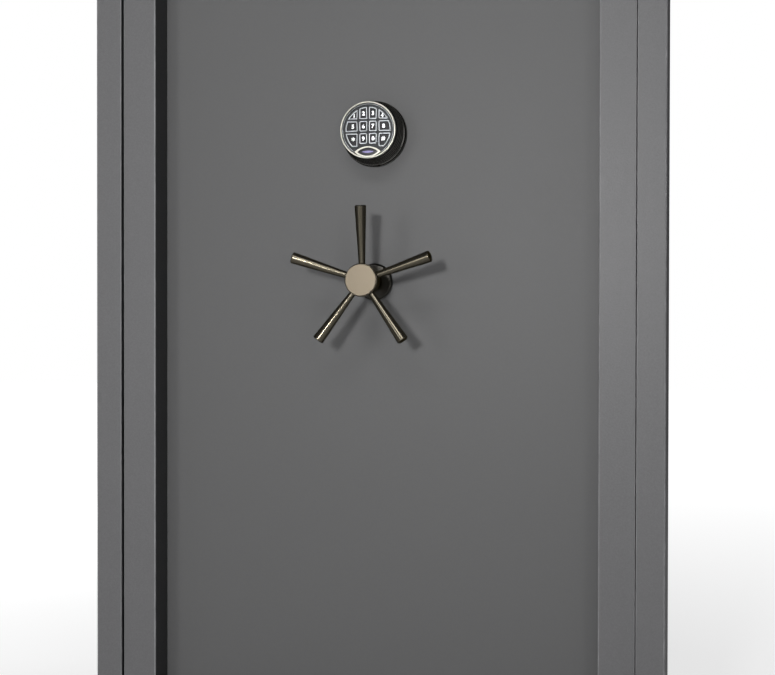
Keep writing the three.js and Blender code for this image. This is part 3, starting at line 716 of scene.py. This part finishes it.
def build_lining():
    """Five felt-covered panels: two sides, floor board, ceiling and back."""
    low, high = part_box("interior_lining")
    depth, wide = high.y - low.y - FELT_THICKNESS, high.x - low.x
    base, tall = low.z + FELT_THICKNESS, high.z - low.z - 2 * FELT_THICKNESS

    def panel(name, width, height, place, seams_u=(), seams_v=(), nodes=()):
        bm = padded_face(width, height, place, (60, 20), seams_u, seams_v, 1.2 * MM)
        attach(to_object(name, bm, [FELT], 60), "cabinet", "grey_fabric", *nodes)

    panel("lining_left", depth, tall, lambda u, v, h: (low.x + h, low.y + u, base + v),
          (0.5,), (), ("interior_lining",))
    panel("lining_right", depth, tall, lambda u, v, h: (high.x - h, low.y + u, base + v), (0.5,))
    panel("lining_floor", wide, depth, lambda u, v, h: (low.x + u, low.y + v, low.z + h))
    panel("lining_ceiling", wide, depth, lambda u, v, h: (low.x + u, low.y + v, high.z - h))
    panel("lining_back", wide, high.z - low.z, lambda u, v, h: (low.x + u, high.y - h, low.z + v),
          (1 / 3, 2 / 3), (0.5,))


def build_furniture():
    """Felt-wrapped boards, the notched barrel rack and the ribbed mat."""
    for node in ("centre_divider", "top_shelf", "side_shelf"):
        low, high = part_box(node)
        attach(slab(f"{node}_board", low, high, 3.5 * MM, FELT, 4), "cabinet", "grey_fabric", node)
    rack = softened("barrel_rack_board", "barrel_rack", 3.0 * MM, FELT, 3)
    attach(rack, "cabinet", "grey_fabric", "barrel_rack")
    low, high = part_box("floor_mat")
    size = high - low
    ribs, rib_steps, rows = 60, 4, 2
    steps = ribs * rib_steps
    front = []
    for i in range(steps + 1):
        x = low.x + size.x * i / steps
        top = low.z + size.z * (0.86 + 0.14 * math.cos(2 * math.pi * i / rib_steps))
        front.append([(x, low.y + size.y * j / rows, top) for j in range(rows + 1)])
    bm = closed_sheet(front, [[(x, y, low.z) for y in (low.y, high.y)] for x in (low.x, high.x)])
    attach(to_object("ribbed_mat", bm, [MAT_FELT], 60), "cabinet", "mat_fabric", "floor_mat")


# ---------------- door

def build_door_skin():
    """The door's front sheet: edge, raised border and recessed panel, pierced for the two shafts."""
    rect = rect_of(skin_low, skin_high)
    face, panel, edge_back = skin_low.y, PANEL_Y, FRONT + 44 * MM
    plate, edge = 19 * MM, 11 * MM
    groove = 1.0 * MM
    profile = rounded([
        (plate, panel + SHEET, 0), (plate, panel, 0), (edge, edge_back - SHEET, 0), (edge, edge_back, 0),
        (0, edge_back, 2 * MM), (0, face, 1.4 * MM), (BORDER, face, 2.4 * MM), (BORDER, panel + groove, 0),
        (BORDER + groove, panel + groove, 0), (BORDER + groove, panel, 0.3 * MM),
        (BORDER + 60 * MM, panel, 0),
    ], 6, closed=False)
    bm = rect_sweep(profile, rect, corner=1.0 * MM, corner_steps=3, closed=False)
    x0, x1, z0, z1 = rect
    for piece in bm.faces:
        c = piece.calc_center_median()
        inset = min(c.x - x0, x1 - c.x, c.z - z0, z1 - c.z)
        if inset < BORDER - 0.1 * MM:
            piece.material_index = 1
        # faces of the recess walls take the third material, the painted shade
        elif inset < BORDER + 0.9 * groove:
            piece.material_index = 2
    holes = [drill(HANDLE_AXIS, 9.6, -10, 10), drill(DIAL_AXIS, 7.5, -10, 10)]
    skin = to_object("door_face", bm, [PANEL_GREY, CHARCOAL, RECESS_SHADE], 40, cut=holes)
    attach(skin, "door", "door_paint", "door_skin")


BOLTS = sorted(n for n in frame["nodes"] if "_bolt_" in n and n[-1].isdigit()) + ["top_bolt", "bottom_bolt"]
BUSH_RADIUS = 13.7


def bolt_way(node):
    """The centre of a locking bolt, its direction out of the door, and half its length in millimetres."""
    low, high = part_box(node)
    centre = (low + high) / 2
    if node.startswith(("left", "right")):
        way = Vector((-1 if centre.x < 0 else 1, 0, 0))
    else:
        way = Vector((0, 0, -1 if node.startswith("bottom") else 1))
    return centre, way, abs(way.dot(high - low)) / 2 / MM


def bolt_matrix(centre, way):
    return Matrix.Translation(centre) @ way.to_track_quat("Z", "Y").to_matrix().to_4x4()


def build_tray():
    """The bolt tray's side walls, with a hole for each bolt's bush."""
    low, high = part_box("door_tray")
    front, back = low.y, high.y
    profile = rounded([
        (0, front, 0), (0, back, 1.5 * MM), (12 * MM, back, 1 * MM), (12 * MM, back - 2 * MM, 0),
        (2 * MM, back - 2 * MM, 0), (2 * MM, front, 0),
    ])
    bm = rect_sweep(profile, rect_of(low, high), corner=2 * MM, corner_steps=4)
    holes = []
    for node in BOLTS:
        centre, way, reach = bolt_way(node)
        holes.append(drill(bolt_matrix(centre, way), BUSH_RADIUS + 0.3, reach - 12, reach + 5))
    attach(to_object("tray_wall", bm, [BLACK_PAINT], cut=holes), "door", "black_paint", "door_tray")


def build_bolts():
    """Each locking bolt on its own bar's body, and the bush that guides it through the tray."""
    radius = 12
    for node in BOLTS:
        centre, way, reach = bolt_way(node)
        matrix = bolt_matrix(centre, way)
        points = [
            (0, -reach, 0), (radius, -reach, 0.5), (radius, reach - 2.5, 1.2), (radius - 3, reach, 1.0),
            (0, reach, 0),
        ]
        body = f"{node.split('_')[0]}_bolts"
        attach(turned_piece(f"{node}_pin", points, matrix, CHROME, 4, 64), body, "chromed_steel", node)
        bore, flange, wall = radius + 0.3, radius + 4, reach - 2
        start, shoulder, end = wall - 4, wall + 0.1, wall + 0.9
        bush = [
            (bore, start, 0), (BUSH_RADIUS, start, 0.3), (BUSH_RADIUS, shoulder, 0), (flange, shoulder, 0),
            (flange, end, 0.5), (bore, end, 0.3),
        ]
        piece = turned_piece(f"{node}_bush", bush, matrix, BLACK_PLASTIC, 3, 64, closed=True)
        attach(piece, "door", "black_plastic")


def build_bolt_work():
    """The bars that carry the bolts, each on its own body."""
    for node in ("left_bolt_bar", "right_bolt_bar", "top_bolt_bar", "bottom_bolt_bar"):
        body = f"{node.split('_')[0]}_bolts"
        attach(softened(f"{node}_steel", node, 0.8 * MM, ZINC), body, "bare_steel", node)


def build_trim():
    """The quilted felt cover on the door's back."""
    low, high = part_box("door_trim_panel")
    columns, rows = 5, 8
    seams_u = [i / columns for i in range(1, columns)]
    seams_v = [i / rows for i in range(1, rows)]

    def place(u, v, h):
        return (low.x + u, low.y + h, low.z + v)

    width, height = high.x - low.x, high.z - low.z
    bm = padded_face(width, height, place, (110, 200), seams_u, seams_v, 1.5 * MM, 1 * MM, 5 * MM)
    trim = to_object("door_quilt", bm, [FELT], 70, weighted=False)
    attach(trim, "door", "grey_fabric", "door_trim_panel")


build_cabinet_shell()
build_weld_bead()
build_jamb()
build_lining()
build_furniture()
build_door_skin()
build_tray()
build_bolts()
build_bolt_work()
build_trim()


# ---------------- hinges

HINGE_PIN, HINGE_BORE, BARREL, HINGE_PLAY = 6, 6.3, 14, 1


def build_hinge_half(label, part, body, matrix, start, end, plate):
    """A knuckle with the plate that joins it to the cabinet or the door, bored for the pin."""
    knuckle = [(0, start, 0), (BARREL, start, 1.6), (BARREL, end, 1.6), (0, end, 0)]
    leaf = prism(plate, matrix, start, end, 1.2)
    bore = drill(matrix, HINGE_BORE, start - 5, end + 5)
    half = turned_piece(f"{label}_{part}_half", knuckle, matrix, BLACK_PAINT, 4, 64, added=[leaf], cut=[bore])
    attach(half, body, "black_paint", f"hinge_{label}_{part}_half")


def build_hinges():
    """Two hinges: a pin with a collar between the halves, a pad on the cabinet and an arm to the door."""
    axis = Vector(joints["door_swing"]["pos_m"])
    ahead, edge = (axis.y - FRONT) / MM, (skin_high.x - axis.x) / MM
    face = (skin_low.y - axis.y) / MM - 0.3
    arm = [
        (edge - 40, face), (edge - 40, 10), (edge - 27, 4), (0, -12), (0, -ahead - 1), (edge - 2, -ahead - 1),
        (edge - 2, face),
    ]
    pad_half, pad_back = 12, -ahead - 0.3
    pad = [(-pad_half, 0), (pad_half, 0), (pad_half, pad_back), (-pad_half, pad_back)]
    for label in ("lower", "upper"):
        pin_low, pin_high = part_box(f"hinge_{label}_pin")
        matrix = Matrix.Translation((pin_low + pin_high) / 2)
        half = (pin_high.z - pin_low.z) / 2 / MM
        collar, collar_half = BARREL - 3, HINGE_PLAY - 0.3
        head, head_start, head_end = 7.5, half + 0.2, half + 1.7
        pin = [
            (0, -head_end, 0), (head, -head_end, 1), (head, -head_start, 0), (HINGE_PIN, -head_start, 0),
            (HINGE_PIN, -collar_half, 0), (collar, -collar_half, 0.3), (collar, collar_half, 0.3),
            (HINGE_PIN, collar_half, 0), (HINGE_PIN, head_start, 0), (head, head_start, 0),
            (head, head_end, 1), (0, head_end, 0),
        ]
        piece = turned_piece(f"{label}_hinge_pin", pin, matrix, CHROME, 3, 48)
        attach(piece, "cabinet", "chromed_steel", f"hinge_{label}_pin")
        build_hinge_half(label, "frame", "cabinet", matrix, -half, -HINGE_PLAY, pad)
        build_hinge_half(label, "door", "door", matrix, HINGE_PLAY, half, arm)


# ---------------- handle

SPOKES = 5
SPOKE_PLANE, SPOKE_SPLAY = 84 * MM, math.radians(7)


def spoke_matrix(index):
    """Local Z along a spoke from the handle's axis, leaning out of the door by the splay."""
    turn = Matrix.Rotation(index * 2 * math.pi / SPOKES, 4, "Y")
    tilt = Matrix.Rotation(SPOKE_SPLAY, 4, "X")
    return Matrix.Translation(HANDLE + Vector((0, -SPOKE_PLANE, 0))) @ turn @ tilt


def build_handle():
    """The rose on the door, and the hub with its faced cap and screwed-in spokes."""
    at = HANDLE_AXIS
    rose = [(9.8, 0.4, 0), (29.5, 0.4, 0.5), (29.5, 3.4, 0.8), (26.5, 6, 1.2), (9.8, 6, 0.4)]
    attach(turned_piece("rose", rose, at, GUNMETAL, closed=True), "door", "black_metal", "handle_rose")
    r, reach = 25.5, 97
    bore, bore_end, seat = 9.3, reach - 17.7, reach - 1.9
    body = [
        (0, bore_end, 0), (bore, bore_end, 0), (bore, 6.3, 0), (13, 6.3, 0.5), (13.4, 40, 4),
        (15, reach - 37, 3), (22, reach - 30, 3), (r, reach - 24, 2), (r, reach - 2.6, 0.5),
        (r - 1.3, seat, 0), (0, seat, 0),
    ]
    peg, neck, start, shoulder, tip = 4.2, 5.0, 15, 24.8, 115
    spare, outside = 0.2, r + 8
    socket = [
        (0, start - spare, 0), (peg + spare, start - spare, 0), (peg + spare, shoulder - spare, 0),
        (neck + spare, shoulder - spare, 0), (neck + spare, outside, 0), (0, outside, 0),
    ]
    sockets = [turned_piece("socket", socket, spoke_matrix(i), BLACK_NICKEL, 1, 64) for i in range(SPOKES)]
    hub = turned_piece("hub_body", body, at, BLACK_NICKEL, 5, cut=sockets)
    attach(hub, "handle", "black_nickel", "handle_hub")
    cap = [
        (0, reach - 1.8, 0), (r - 1.2, reach - 1.8, 0), (r - 0.5, reach - 1.4, 0.3), (r - 1.6, reach, 0.6),
        (0, reach, 0),
    ]
    attach(turned_piece("hub_cap", cap, at, HUB_FACE), "handle", "champagne_nickel")
    spoke = [
        (0, start, 0), (peg, start, 0.5), (peg, shoulder, 0), (neck, shoulder, 0), (9.0, tip - 1.2, 1.0),
        (7.8, tip, 0.5), (0, tip, 0),
    ]
    for i in range(SPOKES):
        piece = turned_piece(f"spoke_{i + 1}", spoke, spoke_matrix(i), BLACK_NICKEL, 4, 64)
        attach(piece, "handle", "black_nickel", f"handle_spoke_{i + 1}")


# ---------------- dial

def vesica(width, height):
    """A lens outline of two arcs, as (x, z) points from the left tip round by the top."""
    count = 28
    half_w, half_h = width / 2, height / 2
    radius = (half_w ** 2 + half_h ** 2) / (2 * half_h)
    spread = math.asin(half_w / radius)
    points = []
    for sign in (1, -1):
        for i in range(count):
            angle = (-spread + 2 * spread * i / count) * sign
            x = radius * math.sin(angle)
            z = sign * (radius * math.cos(angle) - (radius - half_h))
            points.append((x, z))
    return points


def stacked_outline(name, outlines, materials, sides, end):
    """Joins outlines of equal count; sides and end say which material is on each ring and the last face."""
    bm = new_bmesh()
    rings = [[bm.verts.new(point) for point in outline] for outline in outlines]
    bridge(bm, rings, materials=sides)
    close_ends(bm, rings).material_index = end
    return to_object(name, bm, materials, 40)


KEY_ROWS, KEY_COLUMNS = 3, 4
KEY_PITCH, KEY_SIZE = (15.4, 19.2), (12.6, 16.6)
KEY_FIELD, KEY_RAISE = 36.4, 6.1                # the round field's radius, the middle row's height
KEY_SPREAD, KEY_CREST, KEY_FOOT = 8, 4, 4.7     # how far the outer keys grow sideways, up and down
KEY_LABELS = "1234" "5678" "*90#"


def key_centre(row, column):
    x = (column - (KEY_COLUMNS - 1) / 2) * KEY_PITCH[0]
    return Vector((x, KEY_RAISE + ((KEY_ROWS - 1) / 2 - row) * KEY_PITCH[1]))


def key_outline(row, column, grow=0):
    """A rounded rectangle cut off at the round edge of the key field, the outer keys spread wide."""
    anchor = key_centre(row, column)
    first, last = column == 0, column == KEY_COLUMNS - 1
    corner, corner_steps, edge_steps = 2.5, 6, 10
    half_w, half_h = KEY_SIZE[0] / 2, KEY_SIZE[1] / 2
    left = anchor.x - half_w - (KEY_SPREAD if first else 0) + corner
    right = anchor.x + half_w + (KEY_SPREAD if last else 0) - corner
    bottom = anchor.y - half_h - (KEY_FOOT if row == KEY_ROWS - 1 and (first or last) else 0) + corner
    top = anchor.y + half_h + (KEY_CREST if row == 0 else 0) - corner
    centres = ((right, top), (left, top), (left, bottom), (right, bottom))
    radius = corner + grow
    points = []

    def arc(quarter, angle):
        cx, cz = centres[quarter % 4]
        return Vector((cx + radius * math.cos(angle), cz + radius * math.sin(angle)))

    for quarter in range(4):
        first_angle = quarter * math.pi / 2
        for i in range(corner_steps + 1):
            points.append(arc(quarter, first_angle + i / corner_steps * math.pi / 2))
        start, end = points[-1], arc(quarter + 1, first_angle + math.pi / 2)
        points += [start.lerp(end, i / edge_steps) for i in range(1, edge_steps)]
    limit = KEY_FIELD + grow
    outline = []
    for p in points:
        reach = p - anchor
        along = anchor.dot(reach)
        root = math.sqrt(along ** 2 + reach.length_squared * (limit ** 2 - anchor.length_squared))
        outline.append(anchor + reach * min((root - along) / reach.length_squared, 1))
    return outline


def build_digit(label, x, z, front, node):
    """A raised character, centred by its own extent; it rides on the key's body, named as its node."""
    curve = bpy.data.curves.new(f"{node}_mark", "FONT")
    curve.body = label
    curve.size = (14 if label == "*" else 8.6) * MM
    curve.offset = (0.1 if label == "*" else 0.25) * MM
    curve.align_x, curve.align_y = "CENTER", "CENTER"
    curve.extrude = 0.2 * MM
    curve.bevel_depth = 0.12 * MM
    curve.bevel_resolution = 2
    curve.resolution_u = 4
    digit = new_object(f"{node}_mark", curve)
    bpy.context.view_layer.update()
    mesh = bpy.data.meshes.new_from_object(digit.evaluated_get(bpy.context.evaluated_depsgraph_get()))
    corners = [vertex.co for vertex in mesh.vertices]
    middle = [(min(c[i] for c in corners) + max(c[i] for c in corners)) / 2 for i in (0, 1)]
    place = Matrix.Translation(DIAL + Vector((x, front, z)) * MM) @ FACING
    mesh.transform(place @ Matrix.Translation((-middle[0], -middle[1], 0)))
    bpy.data.objects.remove(digit)
    bm = new_bmesh()
    bm.from_mesh(mesh)
    attach(to_object(f"{node}_mark", bm, [KEY_DIGIT], 45, weighted=False), node, "key_metal")


def area_centre(outline):
    """The centroid of a flat outline."""
    total, centre = 0, Vector((0, 0))
    for a, b in zip(outline, outline[1:] + outline[:1]):
        cross = a.x * b.y - b.x * a.y
        total += cross
        centre += (a + b) * cross / 3
    return centre / total


def build_key(row, column):
    """A dark key with a bright rim and a raised character."""
    index = row * KEY_COLUMNS + column
    node = f"key_{index + 1}"
    low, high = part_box(node)
    front, back = (low.y - DIAL.y) / MM, (high.y - DIAL.y) / MM
    outline = key_outline(row, column)
    middle = area_centre(outline)
    if row:
        middle = (middle + key_centre(row, column)) / 2
    rim = 1.75

    def ring(inset, depth):
        """The outline drawn in towards its middle, by about the same width all round."""
        spots = []
        for i, p in enumerate(outline):
            way = (outline[(i + 1) % len(outline)] - outline[i - 1]).normalized()
            spot = p + Vector((-way.y, way.x)) * inset
            spots.append(DIAL + Vector((spot.x, depth, spot.y)) * MM)
        return spots

    outlines = [
        ring(0, back), ring(0, front + 0.5), ring(0.35, front), ring(rim - 0.3, front),
        ring(rim, front + 0.3), ring(rim + 0.2, front + 0.9),
    ]
    cap = stacked_outline(f"{node}_cap", outlines, [KEY_DARK, KEY_RIM], [1, 1, 1, 1, 0], 0)
    attach(cap, node, "key_metal", node)
    build_digit(KEY_LABELS[index], middle.x, middle.y, front + 0.6, node)


KEYS = [(row, column) for row in range(KEY_ROWS) for column in range(KEY_COLUMNS)]


def build_drum():
    """The dial's body and drive shaft, with rounded ridges round its side and a painted highlight line on
    each crest.
    """
    shaft, shaft_end, skirt, front, rim, inner, floor = 6.5, -45, 51, 47, 44.8, 42, 10.3
    points = [
        (0, shaft_end, 0), (shaft, shaft_end, 0.5), (shaft, 6.3, 0), (skirt, 6.3, 0.6), (skirt, 11, 0.8),
    ]
    ridges, first, last, samples = 5, 12.0, 40.5, 14
    for i in range(ridges * samples + 1):
        depth = first + (last - first) * i / (ridges * samples)
        swell = abs(math.sin(math.pi * i / samples)) ** 0.6
        points.append((50.2 - 0.16 * (depth - first) - 1.8 * (1 - swell), depth, 0))
    points += [
        (44.4, 41.6, 0.3), (44.4, 43.4, 0.3), (rim, 44, 0.3), (rim, front, 0.4), (inner, front, 0.3),
        (inner, floor, 0), (0, floor, 0),
    ]
    profile = []
    # each ridge crest is flagged as an edge, where the gloss black metal paints a bright highlight line
    for radius, along, edge in rounded(mm(points), 3, False):
        phase = ((along / MM - first) / (last - first) * ridges) % 1
        crest = first < along / MM < last and abs(phase - 0.5) < 0.08
        profile.append((radius, along, 1.0 if crest else edge))
    piece = to_object("dial_drum", revolve(profile, DIAL_AXIS, 128), [BLACK_METAL], 30)
    attach(piece, "dial", "black_metal", "dial_housing")


def build_dial():
    """The base on the door, the ridged drum, the rings round its face, and the plate with the keys."""
    at = DIAL_AXIS
    base = [(7.5, 0.4, 0), (52.5, 0.4, 0.5), (52.5, 4, 1.2), (50.5, 6, 0.8), (7.5, 6, 0)]
    # the base's rounded rim gets the same painted highlight line
    piece = turned_piece("dial_ring_base", base, at, BLACK_METAL, 4, 128, closed=True)
    attach(piece, "door", "black_plastic", "dial_base")
    build_drum()

    def face_ring(name, points, material, slot, steps=3, segments=128, nodes=()):
        """A ring round the face, cut away where the badge sits."""
        piece = turned_piece(name, points, at, material, steps, segments, True, cut=[badge_seat()])
        attach(piece, "dial", slot, *nodes)

    bezel = [
        (42.0, 47.3, 0), (44.8, 47.3, 0.4), (44.8, 50.0, 0.8), (44.2, 51, 0.5), (42.5, 51, 0.3),
        (42.0, 50.4, 0.3),
    ]
    face_ring("dial_chrome_ring", bezel, RING_CHROME, "chromed_steel", 6, 160, ["dial_bezel"])
    seat = [
        (39.9, 47.3, 0), (41.9, 47.3, 0), (41.9, 48.6, 0.2), (41.3, 48.6, 0.2), (41.0, 48.9, 0),
        (39.9, 48.9, 0),
    ]
    face_ring("dial_ring_seat", seat, BLACK_PLASTIC, "black_plastic")
    lip = [(39.9, 49.0, 0), (41.0, 49.0, 0), (40.9, 49.7, 0.4), (40.0, 49.7, 0.4)]
    face_ring("dial_ring_lip", lip, KEY_RIM, "chromed_steel")
    plate = [(0, 44.2, 0), (41.3, 44.2, 0), (41.3, 47, 0.4), (0, 47, 0)]
    holes = [prism(key_outline(*key, 0.4), at, 40, 50) for key in KEYS]
    piece = turned_piece("dial_plate", plate, at, FACE_GREY, 3, 128, cut=holes)
    attach(piece, "dial", "face_plastic", "dial_face")
    for key in KEYS:
        build_key(*key)
    build_emblem()


BADGE_DROP, BADGE_WIDTH, BADGE_HEIGHT = 34.2, 43, 17.5


def badge_seat():
    """A cutter that clears the ring round the badge."""
    outline = [(x, z - BADGE_DROP) for x, z in vesica(BADGE_WIDTH + 0.6, BADGE_HEIGHT + 0.4)]
    return prism(outline, DIAL_AXIS, 47.1, 52)


def build_emblem():
    """A plain lens-shaped badge with a bright rim, below the keys."""
    front, w, h = -51, BADGE_WIDTH, BADGE_HEIGHT

    def ring(width, height, depth):
        return [DIAL + Vector((x, depth, z - BADGE_DROP)) * MM for x, z in vesica(width, height)]

    outlines = [
        ring(w, h, front + 3.8), ring(w, h, front + 0.6), ring(w - 1.2, h - 0.8, front),
        ring(w - 9.5, h - 4.4, front), ring(w - 10.5, h - 5.0, front + 0.6),
        ring(w - 11.5, h - 5.6, front + 1.0), ring(w - 24, h - 14.2, front + 0.3),
    ]
    materials = [RING_CHROME, EMBLEM_DARK, EMBLEM_VIOLET]
    badge = stacked_outline("dial_emblem", outlines, materials, [0, 0, 0, 0, 1, 1], 2)
    attach(badge, "dial", "chromed_steel")


def dress_hidden_nodes():
    """CAD nodes that stay as they are get their finish."""
    finishes = {
        "fire_board": GYPSUM, "door_core": GYPSUM, "hardplate": ZINC, "lock_body": LOCK_ALLOY,
        "lock_bolt": CHROME, "handle_spindle": ZINC, "cam_plate": ZINC,
    }
    for node, material in finishes.items():
        data = frame["nodes"][node].data
        data.materials.clear()
        data.materials.append(material)


build_hinges()
build_handle()
build_dial()
dress_hidden_nodes()
